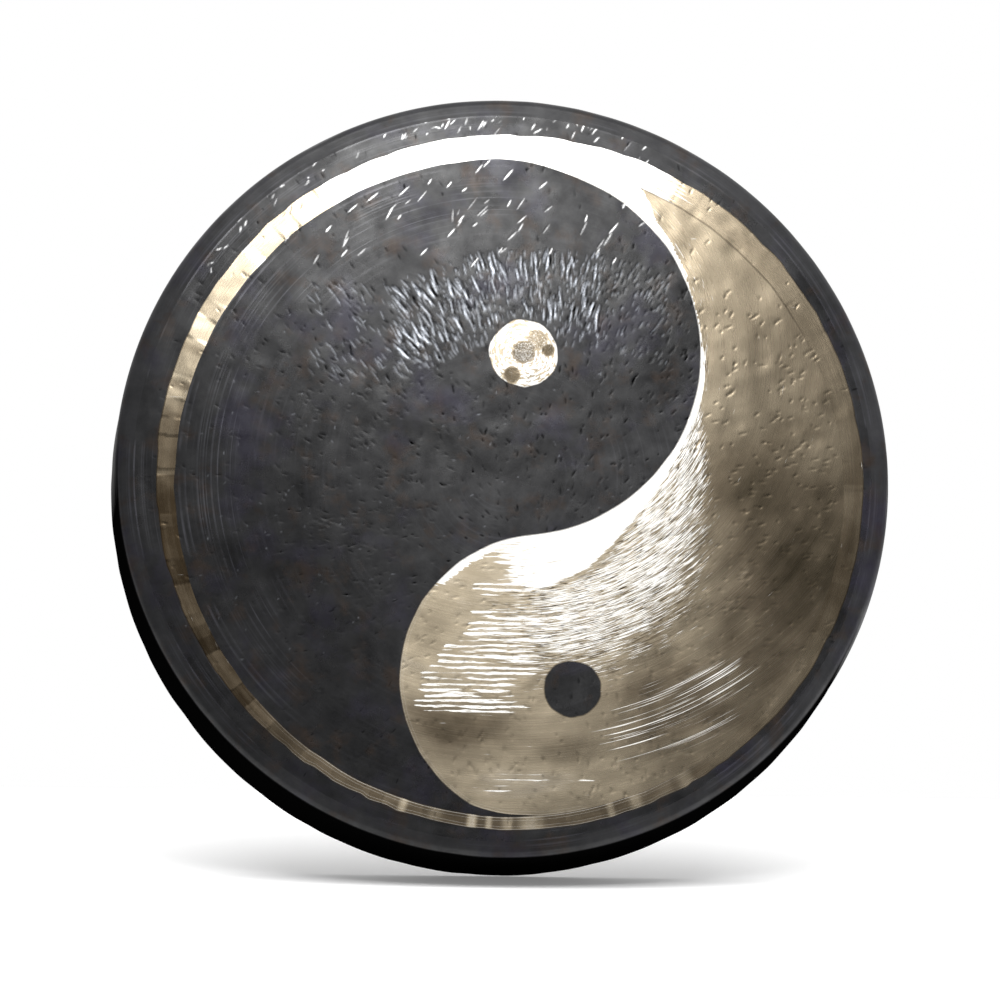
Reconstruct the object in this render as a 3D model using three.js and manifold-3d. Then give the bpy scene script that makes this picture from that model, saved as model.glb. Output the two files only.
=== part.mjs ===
// A chau gong, also called a tam-tam: one sheet of hammered bronze with its edge turned back
// into a rim, and a two-field pattern scraped bright on its playing face.
//
// Millimetres. The gong's axis is Y and it faces -Y. +Z is up as it hangs. The origin is the
// centre of the playing face, on its front surface. The face is divided where its finish or
// its bend changes, and neighbouring zones keep a seam between them.

import * as THREE from 'three';
import { mergeVertices } from 'three/addons/utils/BufferGeometryUtils.js';
import Module from 'manifold-3d';

const wasm = await Module();
wasm.setup();

// Sheet metal
const OUTER_RADIUS = 300;
const RIM_DEPTH = 78;
const FACE_SHEET = 2.0;
const RIM_SHEET = 2.4;
const FLAT_RADIUS = 286;
const BEND_RADIUS = 8;
const BEND_START_DEG = -80;
const SEAM = 0.3;

// Cord holes, drilled through the rim on either side of the top
const CORD_HOLE_RADIUS = 5;
const CORD_HOLE_DEPTH = 45;
const CORD_HOLE_TURN_DEG = 18;

// The pattern, as circles in the face: x to the right, z up
const RING_OUTER = { x: 5.8, z: -2.8, r: 273.9 };
const RING_INNER = { x: 5.4, z: -7.5, r: 259 };
const DARK_HEAD = { x: 7.4, z: 99.6, r: 146 };
const BRIGHT_HEAD = { x: 34.7, z: -159.5, r: 114.5 };
const BRIGHT_EYE = { x: 15.9, z: 97.2, r: 26.6 };
const DARK_EYE = { x: 53.6, z: -166.2, r: 21.8 };

// Where the wave between the fields leaves and joins the circles, in degrees from +x
const TOP_TIP_DEG = 92;
const DARK_HEAD_START_DEG = 62;
const BRIGHT_HEAD_END_DEG = 235;
const BOTTOM_TIP_DEG = 275;
const TIP_WIDTH = 2.5;

// Facets
const TURN_SEGMENTS = 96;
const WAVE_STEPS = 24;
const BEND_STEPS = 6;
const EYE_SEGMENTS = 40;
const HOLE_SEGMENTS = 24;
const SHORTEST_EDGE = 0.01;

const darkPatina = new THREE.MeshStandardMaterial({ color: 0x3b3b3d, roughness: 0.45, metalness: 0.8 });
const rimPatina = new THREE.MeshStandardMaterial({ color: 0x2c2a28, roughness: 0.55, metalness: 0.7 });
const scrapedBronze = new THREE.MeshStandardMaterial({ color: 0xb09a78, roughness: 0.3, metalness: 1.0 });

function pointOn(circle, degrees) {
  const angle = THREE.MathUtils.degToRad(degrees);
  return new THREE.Vector2(
    circle.x + circle.r * Math.cos(angle),
    circle.z + circle.r * Math.sin(angle),
  );
}

/** The corner where the tangents of two circles, each at its own angle, cross. */
function tangentCorner(circleA, degreesA, circleB, degreesB) {
  const start = pointOn(circleA, degreesA);
  const end = pointOn(circleB, degreesB);
  const angleA = THREE.MathUtils.degToRad(degreesA);
  const angleB = THREE.MathUtils.degToRad(degreesB);
  const alongA = new THREE.Vector2(-Math.sin(angleA), Math.cos(angleA));
  const alongB = new THREE.Vector2(-Math.sin(angleB), Math.cos(angleB));
  const reach = end.clone().sub(start).cross(alongB) / alongA.cross(alongB);
  return start.addScaledVector(alongA, reach);
}

/** Adds an arc of a circle to a path, from one angle to another. */
function addArc(path, circle, fromDeg, toDeg) {
  const from = THREE.MathUtils.degToRad(fromDeg);
  const to = THREE.MathUtils.degToRad(toDeg);
  path.absarc(circle.x, circle.z, circle.r, from, to, toDeg < fromDeg);
}

/** The dark field's outline: the ring's inner edge up the left, and the wave back down. */
function darkOutline() {
  const down = new THREE.Vector2(BRIGHT_HEAD.x - DARK_HEAD.x, BRIGHT_HEAD.z - DARK_HEAD.z);
  const meetDeg = THREE.MathUtils.radToDeg(Math.atan2(down.y, down.x));
  const bottomTip = pointOn(RING_INNER, BOTTOM_TIP_DEG);
  const inside = { ...RING_INNER, r: RING_INNER.r - TIP_WIDTH };
  const topCorner = tangentCorner(inside, TOP_TIP_DEG, DARK_HEAD, DARK_HEAD_START_DEG);
  const headStart = pointOn(DARK_HEAD, DARK_HEAD_START_DEG);
  const bottomCorner = tangentCorner(BRIGHT_HEAD, BRIGHT_HEAD_END_DEG, inside, BOTTOM_TIP_DEG);
  const path = new THREE.Path();
  addArc(path, RING_INNER, BOTTOM_TIP_DEG, TOP_TIP_DEG);
  path.quadraticCurveTo(topCorner.x, topCorner.y, headStart.x, headStart.y);
  addArc(path, DARK_HEAD, DARK_HEAD_START_DEG, meetDeg);
  addArc(path, BRIGHT_HEAD, meetDeg + 180, BRIGHT_HEAD_END_DEG);
  path.quadraticCurveTo(bottomCorner.x, bottomCorner.y, bottomTip.x, bottomTip.y);
  const points = path.getPoints(WAVE_STEPS);
  return points.filter((point, i) => point.distanceTo(points.at(i - 1)) > SHORTEST_EDGE);
}

/** Moves each point of a closed outline along its own normal, away from the middle. */
function grown(points, distance) {
  const away = THREE.ShapeUtils.isClockWise(points) ? -distance : distance;
  return points.map((point, i) => {
    const before = points.at(i - 1);
    const after = points[(i + 1) % points.length];
    const along = after.clone().sub(before).normalize();
    return new THREE.Vector2(point.x + along.y * away, point.y - along.x * away);
  });
}

function discShape(circle, segments, growth = 0) {
  const radius = circle.r + growth;
  const edge = new THREE.EllipseCurve(circle.x, circle.z, radius, radius);
  return new THREE.Shape(edge.getPoints(segments).slice(0, -1));
}

/** A flat plate drawn in x and y and extruded along z, as thick as the face's sheet. */
function plate(shape) {
  return new THREE.ExtrudeGeometry(shape, { depth: FACE_SHEET, bevelEnabled: false });
}

/** The same, standing out of the sheet on both sides, for cutting through it. */
function cutterPlate(shape) {
  const geometry = new THREE.ExtrudeGeometry(shape, { depth: 2 * FACE_SHEET, bevelEnabled: false });
  return geometry.translate(0, 0, -FACE_SHEET / 2);
}

function solidOf(geometry) {
  const bare = geometry.clone();
  bare.deleteAttribute('normal');
  bare.deleteAttribute('uv');
  const merged = mergeVertices(bare);
  return new wasm.Manifold(new wasm.Mesh({
    numProp: 3,
    vertProperties: new Float32Array(merged.attributes.position.array),
    triVerts: new Uint32Array(merged.index.array),
  }));
}

function geometryOf(solid) {
  const mesh = solid.getMesh();
  const geometry = new THREE.BufferGeometry();
  geometry.setAttribute('position', new THREE.BufferAttribute(mesh.vertProperties, mesh.numProp));
  geometry.setIndex(new THREE.BufferAttribute(mesh.triVerts, 1));
  geometry.computeVertexNormals();
  return geometry;
}

function named(name, geometry, material) {
  const mesh = new THREE.Mesh(geometry, material);
  mesh.name = name;
  return mesh;
}

/** The left-hand field, left dark, with a round opening for its bright eye. */
function darkField() {
  const shape = new THREE.Shape(darkOutline());
  shape.holes.push(discShape(BRIGHT_EYE, EYE_SEGMENTS, SEAM));
  return named('dark_field', plate(shape), darkPatina);
}

/** The right-hand field, scraped bright: what the ring encloses beside the dark field. */
function brightField() {
  const disc = solidOf(plate(discShape(RING_INNER, TURN_SEGMENTS)));
  const dark = solidOf(cutterPlate(new THREE.Shape(grown(darkOutline(), SEAM))));
  const eyeHole = solidOf(cutterPlate(discShape(DARK_EYE, EYE_SEGMENTS, SEAM)));
  const pieces = disc.subtract(dark).subtract(eyeHole).decompose();
  const field = pieces.reduce((a, b) => (b.volume() > a.volume() ? b : a));
  return named('bright_field', geometryOf(field), scrapedBronze);
}

function eye(name, circle, material) {
  return named(name, plate(discShape(circle, EYE_SEGMENTS)), material);
}

/** The bright ring round both fields. It is broader at the top than at the bottom. */
function scrapedRing() {
  const shape = discShape(RING_OUTER, TURN_SEGMENTS);
  shape.holes.push(discShape(RING_INNER, TURN_SEGMENTS, SEAM));
  return named('scraped_ring', plate(shape), scrapedBronze);
}

/** The dark flat band outside the ring, out to where the sheet starts to turn back. */
function outerBand() {
  const shape = discShape({ x: 0, z: 0, r: FLAT_RADIUS }, TURN_SEGMENTS);
  shape.holes.push(discShape(RING_OUTER, TURN_SEGMENTS, SEAM));
  return named('outer_band', plate(shape), darkPatina);
}

/** Points of an arc in the profile plane: x is the distance from the axis, y is the depth. */
function profileArc(centre, radius, fromDeg, toDeg) {
  return Array.from({ length: BEND_STEPS + 1 }, (_, i) => {
    const angle = THREE.MathUtils.degToRad(THREE.MathUtils.lerp(fromDeg, toDeg, i / BEND_STEPS));
    return new THREE.Vector2(
      centre.x + radius * Math.cos(angle),
      centre.y + radius * Math.sin(angle),
    );
  });
}

const BEND_SLOPE = Math.tan(THREE.MathUtils.degToRad(90 + BEND_START_DEG));
const BEND_FALL = (OUTER_RADIUS - BEND_RADIUS - FLAT_RADIUS) * BEND_SLOPE;
const BEND_CENTRE = new THREE.Vector2(OUTER_RADIUS - BEND_RADIUS, BEND_FALL + BEND_RADIUS);

/** The hammered turn from the flat face to the rim wall. */
function shoulderBend() {
  const outside = profileArc(BEND_CENTRE, BEND_RADIUS, BEND_START_DEG, 0);
  const inside = profileArc(BEND_CENTRE, BEND_RADIUS - RIM_SHEET, 0, BEND_START_DEG);
  const startRadius = FLAT_RADIUS + SEAM;
  const profile = [
    new THREE.Vector2(startRadius, 0),
    ...outside,
    ...inside,
    new THREE.Vector2(startRadius, FACE_SHEET),
  ];
  profile.push(profile[0].clone());
  return named('shoulder_bend', new THREE.LatheGeometry(profile, TURN_SEGMENTS), rimPatina);
}

/** The rim wall behind the shoulder, with the two cord holes drilled along its radius. */
function rimWall() {
  const front = BEND_CENTRE.y + SEAM;
  const inner = OUTER_RADIUS - RIM_SHEET;
  const profile = [
    new THREE.Vector2(OUTER_RADIUS, front),
    new THREE.Vector2(OUTER_RADIUS, RIM_DEPTH),
    new THREE.Vector2(inner, RIM_DEPTH),
    new THREE.Vector2(inner, front),
  ];
  profile.push(profile[0].clone());
  let wall = solidOf(new THREE.LatheGeometry(profile, TURN_SEGMENTS));
  for (const side of [-1, 1]) {
    const hole = new THREE.CylinderGeometry(
      CORD_HOLE_RADIUS, CORD_HOLE_RADIUS, RIM_SHEET * 6, HOLE_SEGMENTS,
    );
    hole.rotateX(Math.PI / 2);
    hole.translate(0, CORD_HOLE_DEPTH, OUTER_RADIUS - RIM_SHEET / 2);
    hole.rotateY(THREE.MathUtils.degToRad(side * CORD_HOLE_TURN_DEG));
    wall = wall.subtract(solidOf(hole));
  }
  return named('rim_wall', geometryOf(wall), rimPatina);
}

// The flat zones are drawn in x and y and extruded along z, then turned to face -Y
const face = new THREE.Group();
face.rotation.x = Math.PI / 2;
face.position.y = FACE_SHEET;
face.add(
  darkField(),
  brightField(),
  eye('bright_eye', BRIGHT_EYE, scrapedBronze),
  eye('dark_eye', DARK_EYE, darkPatina),
  scrapedRing(),
  outerBand(),
);

const gong = new THREE.Group();
gong.add(face, shoulderBend(), rimWall());

export default gong;
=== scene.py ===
"""The looks of a chau gong, or tam-tam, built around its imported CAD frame.

Metres throughout, in the frame's own axes: the gong's axis is Y, its face looks along -Y
and +Z is up as it hangs. The face is divided into the same zones as the CAD part. Each zone
is a hammered skin with its own relief, cut out along the edges that the scraper left.
"""
import logging
import math
from dataclasses import dataclass, field
from enum import Enum
from functools import partial
from typing import Callable

import bmesh
import bpy
import numpy as np
from mathutils import Matrix, Vector


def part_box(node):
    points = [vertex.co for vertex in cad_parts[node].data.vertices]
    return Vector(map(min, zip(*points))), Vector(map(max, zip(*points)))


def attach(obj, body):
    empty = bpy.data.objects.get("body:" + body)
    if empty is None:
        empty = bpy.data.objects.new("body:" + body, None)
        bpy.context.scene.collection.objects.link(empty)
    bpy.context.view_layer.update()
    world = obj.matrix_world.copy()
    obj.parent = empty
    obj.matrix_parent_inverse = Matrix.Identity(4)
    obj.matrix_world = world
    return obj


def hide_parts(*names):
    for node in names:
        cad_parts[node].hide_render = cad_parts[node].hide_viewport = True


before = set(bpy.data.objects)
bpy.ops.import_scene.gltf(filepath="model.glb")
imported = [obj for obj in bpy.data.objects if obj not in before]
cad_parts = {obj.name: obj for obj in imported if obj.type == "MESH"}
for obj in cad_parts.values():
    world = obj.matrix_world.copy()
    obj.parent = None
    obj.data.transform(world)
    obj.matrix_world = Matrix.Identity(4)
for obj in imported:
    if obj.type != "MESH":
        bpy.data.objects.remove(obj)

LOG = logging.getLogger("gong")
MM = 0.001
# A function of places on the gong: a signed distance from an edge, or a value that a finish reads
Field = Callable[[np.ndarray], np.ndarray]


class Slot(Enum):
    """The record's material slots."""

    DARK = "dark_patina"
    BRIGHT = "scraped_bronze"
    RIM = "rim_patina"


# ---------------------------------------------------------------- small tools


def linear(colour: str) -> tuple[float, float, float, float]:
    """Turns an sRGB hex colour linear.

    Args:
        colour: six hex digits, such as "b09a78".

    Returns:
        Red, green, blue and an alpha of 1.
    """
    parts = [int(colour[i : i + 2], 16) / 255 for i in (0, 2, 4)]
    made = [p / 12.92 if p <= 0.04045 else ((p + 0.055) / 1.055) ** 2.4 for p in parts]
    return (*made, 1.0)


def add_node(
    tree: bpy.types.NodeTree, kind: str, inputs: dict | list | None = None, out: int | str = 0, **settings
) -> bpy.types.NodeSocket | None:
    """Adds one node to a tree.

    Args:
        tree: the node tree.
        kind: the node's Blender type, without its "ShaderNode".
        inputs: values, or output sockets to link: by position, or by socket name or number.
        out: which output to return.
        **settings: the node's own properties.

    Returns:
        The output, or None for a node that has none.
    """
    node = tree.nodes.new("ShaderNode" + kind)
    for name, value in settings.items():
        setattr(node, name, value)
    for key, value in inputs.items() if isinstance(inputs, dict) else enumerate(inputs or ()):
        if isinstance(value, bpy.types.NodeSocket):
            tree.links.new(value, node.inputs[key])
        else:
            node.inputs[key].default_value = value
    return node.outputs[out] if node.outputs else None


def new_material(name: str) -> tuple[bpy.types.Material, Callable[..., bpy.types.NodeSocket]]:
    """Starts a material, and gives the function that adds nodes to it."""
    made = bpy.data.materials.new(name)
    made.use_nodes = True
    return made, partial(add_node, made.node_tree)


def connect(material: bpy.types.Material, sockets: dict[str, bpy.types.NodeSocket]) -> None:
    """Links outputs to the inputs of a material's shader, by name."""
    for name, value in sockets.items():
        material.node_tree.links.new(value, material.node_tree.nodes["Principled BSDF"].inputs[name])


def smooth(low: float, high: float, value: np.ndarray) -> np.ndarray:
    """A soft step from 0 at low to 1 at high."""
    t = np.clip((value - low) / (high - low), 0, 1)
    return t * t * (3 - 2 * t)


def follow(value: np.ndarray, table: tuple, period: float | None = None) -> np.ndarray:
    """Reads a table of places and amounts, with straight lines between its rows."""
    places, amounts = zip(*table)
    return np.interp(value, places, amounts, period=period)


def even(amount: float) -> Field:
    """A field with the same value everywhere."""
    return lambda points: np.full(len(points), amount)


def coordinates(bm: bmesh.types.BMesh) -> np.ndarray:
    """The places of a bmesh's vertices, one row each."""
    return np.array([v.co for v in bm.verts], float).reshape(-1, 3)


# ---------------------------------------------------------------- the pattern's edges


@dataclass(frozen=True)
class Circle:
    """A circle in the face, in metres: x to the right and z up."""

    x: float
    z: float
    r: float

    def at(self, degrees: float) -> np.ndarray:
        """The point on the circle at an angle from +x."""
        a = math.radians(degrees)
        return np.array([self.x + self.r * math.cos(a), self.z + self.r * math.sin(a)])

    def polar(self, points: np.ndarray) -> tuple[np.ndarray, np.ndarray]:
        """Distance from the centre and angle in radians of points given as x, y, z rows."""
        dx, dz = points[:, 0] - self.x, points[:, 2] - self.z
        return np.hypot(dx, dz), np.arctan2(dz, dx)

    @staticmethod
    def around(node: str) -> "Circle":
        """The circle that a round CAD node fills."""
        lo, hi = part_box(node)
        return Circle((lo.x + hi.x) / 2, (lo.z + hi.z) / 2, (hi.x - lo.x) / 2)


@dataclass(frozen=True)
class ScrapedEdge:
    """A circular edge left by a hand scraper: short, nearly straight strokes that stray a little.

    Args:
        circle: the edge's true circle.
        stroke: length of one scraper stroke.
        stray: how far the strokes' ends stray from the circle.
        seed: seed of the strokes.
    """

    circle: Circle
    stroke: float = 10 * MM
    stray: float = 0.45 * MM
    seed: int = 1

    def distance(self, points: np.ndarray) -> np.ndarray:
        """Signed distance from the edge, negative inside."""
        radius, angle = self.circle.polar(points)
        count = max(8, round(2 * math.pi * self.circle.r / self.stroke))
        rng = np.random.default_rng(self.seed)
        turns = (np.arange(count) + rng.uniform(-0.3, 0.3, count)) * 2 * math.pi / count
        strays = rng.normal(0, self.stray, count)
        return radius - self.circle.r - np.interp(angle, turns, strays, period=2 * math.pi)


@dataclass(frozen=True)
class Wave:
    """The S-shaped edge between the two fields, from the ring's top to its bottom.

    Args:
        ring: the ring's inner circle.
        dark_head: the circle that the dark field's head follows.
        bright_head: the circle that the bright field's head follows.
    """

    ring: Circle
    dark_head: Circle
    bright_head: Circle
    top_tip: float = 92
    dark_start: float = 62
    bright_end: float = 235
    bottom_tip: float = 275
    tip_width: float = 2.5 * MM
    overrun: float = 30 * MM
    stray: float = 0.22 * MM

    @staticmethod
    def _corner(a: Circle, a_deg: float, b: Circle, b_deg: float) -> np.ndarray:
        """Where the tangents of two circles cross, each at its own angle."""
        start, end = a.at(a_deg), b.at(b_deg)
        ta, tb = math.radians(a_deg), math.radians(b_deg)
        along_a = np.array([-math.sin(ta), math.cos(ta)])
        along_b = np.array([-math.sin(tb), math.cos(tb)])
        gap = end - start
        cross = along_a[0] * along_b[1] - along_a[1] * along_b[0]
        return start + along_a * (gap[0] * along_b[1] - gap[1] * along_b[0]) / cross

    def trace(self) -> tuple[np.ndarray, np.ndarray]:
        """Samples the wave about every millimetre.

        Returns:
            The points, and at each the normal that points into the bright field.
        """
        inside = Circle(self.ring.x, self.ring.z, self.ring.r - self.tip_width)
        down = math.degrees(math.atan2(self.bright_head.z - self.dark_head.z, self.bright_head.x - self.dark_head.x))
        t = np.linspace(0, 1, 90)[:, None]

        def bend(start: np.ndarray, corner: np.ndarray, end: np.ndarray) -> np.ndarray:
            """A quadratic curve through two ends, pulled towards a corner."""
            return (1 - t) ** 2 * start + 2 * t * (1 - t) * corner + t**2 * end

        def arc(circle: Circle, first: float, last: float) -> np.ndarray:
            """Points along an arc."""
            steps = max(4, int(abs(math.radians(last - first)) * circle.r / MM))
            return np.array([circle.at(d) for d in np.linspace(first, last, steps)])

        top, bottom = self.ring.at(self.top_tip), self.ring.at(self.bottom_tip)
        into = self._corner(inside, self.top_tip, self.dark_head, self.dark_start)
        out_of = self._corner(self.bright_head, self.bright_end, inside, self.bottom_tip)
        run = np.vstack([
            bend(top, into, self.dark_head.at(self.dark_start)),
            arc(self.dark_head, self.dark_start, down)[1:],
            arc(self.bright_head, down + 180, self.bright_end)[1:],
            bend(self.bright_head.at(self.bright_end), out_of, bottom)[1:],
        ])
        first, last = run[0] - run[1], run[-1] - run[-2]
        run = np.vstack([
            run[0] + first / np.linalg.norm(first) * self.overrun, run,
            run[-1] + last / np.linalg.norm(last) * self.overrun,
        ])
        along = np.concatenate([[0], np.cumsum(np.linalg.norm(np.diff(run, axis=0), axis=1))])
        even = np.linspace(0, along[-1], int(along[-1] / MM))
        points = np.column_stack([np.interp(even, along, run[:, i]) for i in (0, 1)])
        tangent = np.gradient(points, axis=0)
        tangent /= np.linalg.norm(tangent, axis=1)[:, None]
        normal = np.column_stack([-tangent[:, 1], tangent[:, 0]])
        rng = np.random.default_rng(5)
        knots = np.arange(0, even[-1] + 14 * MM, 14 * MM)
        wobble = np.interp(even, knots, rng.normal(0, self.stray, len(knots)))
        return points + normal * wobble[:, None], normal

    def distance(self, points: np.ndarray) -> np.ndarray:
        """Signed distance from the wave: negative on the dark side, positive on the bright side."""
        samples, normals = self.trace()
        samples32 = samples.astype(np.float32)
        out = np.empty(len(points))
        for start in range(0, len(points), 8000):
            flat = points[start : start + 8000][:, (0, 2)]
            flat32 = flat.astype(np.float32)
            squared = (flat32[:, :1] - samples32[:, 0]) ** 2 + (flat32[:, 1:] - samples32[:, 1]) ** 2
            nearest = squared.argmin(axis=1)
            gap = flat - samples[nearest]
            side = np.einsum("ij,ij->i", gap, normals[nearest])
            far = np.linalg.norm(gap, axis=1)
            out[start : start + 8000] = np.where(far < 3 * MM, side, np.sign(side) * far)
        return out


# ---------------------------------------------------------------- hammered relief


@dataclass
class Relief:
    """Height of the hammered sheet over the face, and the bare marks that tools left on it, with painted highlights
    on some marks and painted shade in the pits.

    Args:
        half: half the side of the square that the map covers.
        pitch: size of one cell.
    """

    half: float = 303 * MM
    pitch: float = 0.5 * MM
    seed: int = 11
    height: np.ndarray = field(init=False)
    bare: np.ndarray = field(init=False)
    painted_highlight: np.ndarray = field(init=False)
    pit_and_shade: np.ndarray = field(init=False)
    detail: np.ndarray = field(init=False)

    def __post_init__(self) -> None:
        """Starts with a flat sheet."""
        cells = int(2 * self.half / self.pitch) + 1
        for layer in ("height", "bare", "painted_highlight", "pit_and_shade", "detail"):
            setattr(self, layer, np.zeros((cells, cells), np.float32))
        self.rng = np.random.default_rng(self.seed)

    def stamp(
        self, target: np.ndarray, at: tuple[float, float], size: tuple[float, float], turn: float, depth: float,
        power: float = 1.0,
    ) -> None:
        """Adds one oval mark to a map.

        Args:
            target: the map.
            at: the mark's centre, x and z.
            size: its length and width.
            turn: angle of its length from +x, in degrees.
            depth: what it adds at its middle.
            power: how soft its edge is.
        """
        reach = max(size) / 2
        col = [int((at[0] + self.half + s * reach) / self.pitch) for s in (-1, 1)]
        row = [int((at[1] + self.half + s * reach) / self.pitch) for s in (-1, 1)]
        c0, c1 = max(col[0], 0), min(col[1] + 2, target.shape[1])
        r0, r1 = max(row[0], 0), min(row[1] + 2, target.shape[0])
        if c0 >= c1 or r0 >= r1:
            return
        x = np.arange(c0, c1) * self.pitch - self.half - at[0]
        z = (np.arange(r0, r1) * self.pitch - self.half - at[1])[:, None]
        a = math.radians(turn)
        u = (x * math.cos(a) + z * math.sin(a)) / (size[0] / 2)
        v = (-x * math.sin(a) + z * math.cos(a)) / (size[1] / 2)
        target[r0:r1, c0:c1] += depth * np.clip(1 - u * u - v * v, 0, 1) ** power

    def mark(
        self, layer: np.ndarray, at: tuple[float, float], size: tuple[float, float], turn: float, strength: float,
        dent: float,
    ) -> None:
        """Adds one tool mark, given in millimetres: its tone, its dent, and the fine mesh that it needs.

        Args:
            layer: the map of its tone.
            at: the mark's centre, x and z.
            size: its length and width.
            turn: angle of its length from +x, in degrees.
            strength: how plain its tone is.
            dent: how deep it goes.
        """
        place, span = (at[0] * MM, at[1] * MM), (size[0] * MM, size[1] * MM)
        self.stamp(layer, place, span, turn, strength, 0.5)
        self.stamp(self.height, place, (span[0] + 1 * MM, span[1] + 1 * MM), turn, dent * MM)
        self.stamp(self.detail, place, (span[0] + 2.4 * MM, span[1] + 2.4 * MM), turn, 1, 0.3)

    def sample(self, layer: np.ndarray, points: np.ndarray) -> np.ndarray:
        """A map's values at points, between its cells."""
        c = np.clip((points[:, 0] + self.half) / self.pitch, 0, layer.shape[1] - 1.001)
        r = np.clip((points[:, 2] + self.half) / self.pitch, 0, layer.shape[0] - 1.001)
        ci, ri = c.astype(int), r.astype(int)
        cf, rf = c - ci, r - ri
        top = layer[ri, ci] * (1 - cf) + layer[ri, ci + 1] * cf
        low = layer[ri + 1, ci] * (1 - cf) + layer[ri + 1, ci + 1] * cf
        return top * (1 - rf) + low * rf

    def roll(self) -> None:
        """Adds the sheet's long, low undulations."""
        axis = np.arange(self.height.shape[0]) * self.pitch - self.half
        for _ in range(14):
            wave = self.rng.uniform(55, 210) * MM
            turn, phase = self.rng.uniform(0, 2 * math.pi, 2)
            swing = self.rng.uniform(0.03, 0.07) * MM * (wave / (100 * MM))
            across = (axis * math.cos(turn) + axis[:, None] * math.sin(turn)) * 2 * math.pi / wave + phase
            self.height += (swing * np.sin(across)).astype(np.float32)

    def hammer(self, count: int) -> None:
        """Adds shallow hammer dents over the whole face."""
        rng = self.rng
        for _ in range(count):
            radius, turn = self.half * math.sqrt(rng.uniform(0, 1)), rng.uniform(0, 2 * math.pi)
            size = rng.uniform(18, 34) * MM
            at = (radius * math.cos(turn), radius * math.sin(turn))
            oval = (size, size * rng.uniform(0.7, 1))
            self.stamp(self.height, at, oval, rng.uniform(0, 180), rng.uniform(0.03, 0.09) * MM, 1.6)

    def fan(self) -> None:
        """Adds the fan of hammer strikes round the bright eye, where the black has come off to the metal; they are
        painted pale as glints, and each long strike gets a painted shadow line beside it.
        """
        rng = self.rng
        for long, count in ((True, 150), (False, 1100)):
            for _ in range(count):
                x, share = rng.uniform(-84, 80 if long else 130), rng.uniform(0, 1)
                drop = max(0.0, -15 - x) * 0.42 + max(0.0, x - 70) * 0.25
                z = (rng.uniform(122, 176) if long else rng.uniform(104, 178)) - drop
                if math.hypot(x - 16, z - 97) < 31 or share > (0.85 if x < 75 else 0.35):
                    continue
                lean = 90 - (x - 30) * 0.36 + rng.normal(0, 7)
                if long:
                    length = rng.uniform(8, 17)
                    size = (length, rng.uniform(1.1, 2.6))
                    self.mark(self.bare, (x, z), size, lean, rng.uniform(0.45, 1.3), 0.16)
                    # A painted shadow line beside the strike
                    self.mark(self.pit_and_shade, (x + 2.1, z), (length, 1.3), lean, 0.7, 0.05)
                else:
                    size = (rng.uniform(3, 9), rng.uniform(0.8, 1.6))
                    wear = 0.6 if x > 75 else 1.0
                    self.mark(self.bare, (x, z), size, lean, rng.uniform(0.1, 0.62) * wear, 0.1)
        for _ in range(90):
            x, z = rng.uniform(-150, -70), rng.uniform(75, 150)
            size = (rng.uniform(5, 12), 1.1)
            self.mark(self.bare, (x, z), size, 128 + rng.normal(0, 9), rng.uniform(0.15, 0.6), 0.08)

    def dashes(self) -> None:
        """Adds the short dashes over the top of the dark field and the band above it, painted white as glints."""
        rng = self.rng
        for _ in range(115):
            x, z = rng.uniform(-215, 112), rng.uniform(165, 296)
            if x < -130 and rng.uniform(0, 1) < 0.4:
                continue
            size = (rng.uniform(5, 13), rng.uniform(0.8, 1.5))
            lean = 52 + rng.normal(0, 12) + max(0.0, x - 10) * 0.25 - max(0.0, x - 60) * 0.5
            self.mark(self.painted_highlight, (x, z), size, lean, rng.uniform(0.3, 1.6), 0.1)
        for _ in range(80):
            radius, turn = rng.uniform(275, 296), math.radians(rng.uniform(72, 145))
            at = (radius * math.cos(turn), radius * math.sin(turn))
            size = (rng.uniform(2, 8), rng.uniform(0.9, 1.5))
            self.mark(self.painted_highlight, at, size, 60 + rng.normal(0, 22), rng.uniform(0.2, 1.1), 0.06)

    def pits(self) -> None:
        """Adds small black pits and short dents, which fan out from below the middle; their black is partly painted
        shade in the dents.
        """
        rng = self.rng
        for _ in range(2600):
            radius, turn = 296 * math.sqrt(rng.uniform(0, 1)), rng.uniform(0, 2 * math.pi)
            x, z = radius * math.cos(turn), radius * math.sin(turn)
            sparse = radius > 262 or z > 150 or x < -175
            if sparse and rng.uniform(0, 1) < 0.7:
                continue
            size = (rng.uniform(1.6, 7.5), rng.uniform(0.9, 1.9))
            lean = math.degrees(math.atan2(z + 64, x - 22)) + rng.normal(0, 15)
            self.mark(self.pit_and_shade, (x, z), size, lean, rng.uniform(0.2, 1.0), 0.08)
        for _ in range(170):
            x, z = rng.uniform(-250, 95), rng.uniform(-160, 160)
            size = (rng.uniform(1.2, 4), 0.9)
            self.mark(self.bare, (x, z), size, rng.uniform(0, 180), rng.uniform(0.1, 0.4), 0.05)

    def work(self) -> "Relief":
        """Hammers the whole sheet.

        Returns:
            The relief itself.
        """
        self.roll()
        self.hammer(1500)
        self.fan()
        self.dashes()
        self.pits()
        axis = np.arange(self.height.shape[0]) * self.pitch - self.half
        out = smooth(286 * MM, 276 * MM, np.hypot(axis, axis[:, None]))
        self.height = (self.height - self.height.mean()) * out.astype(np.float32)
        return self


# ---------------------------------------------------------------- lattices and cutting


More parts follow.
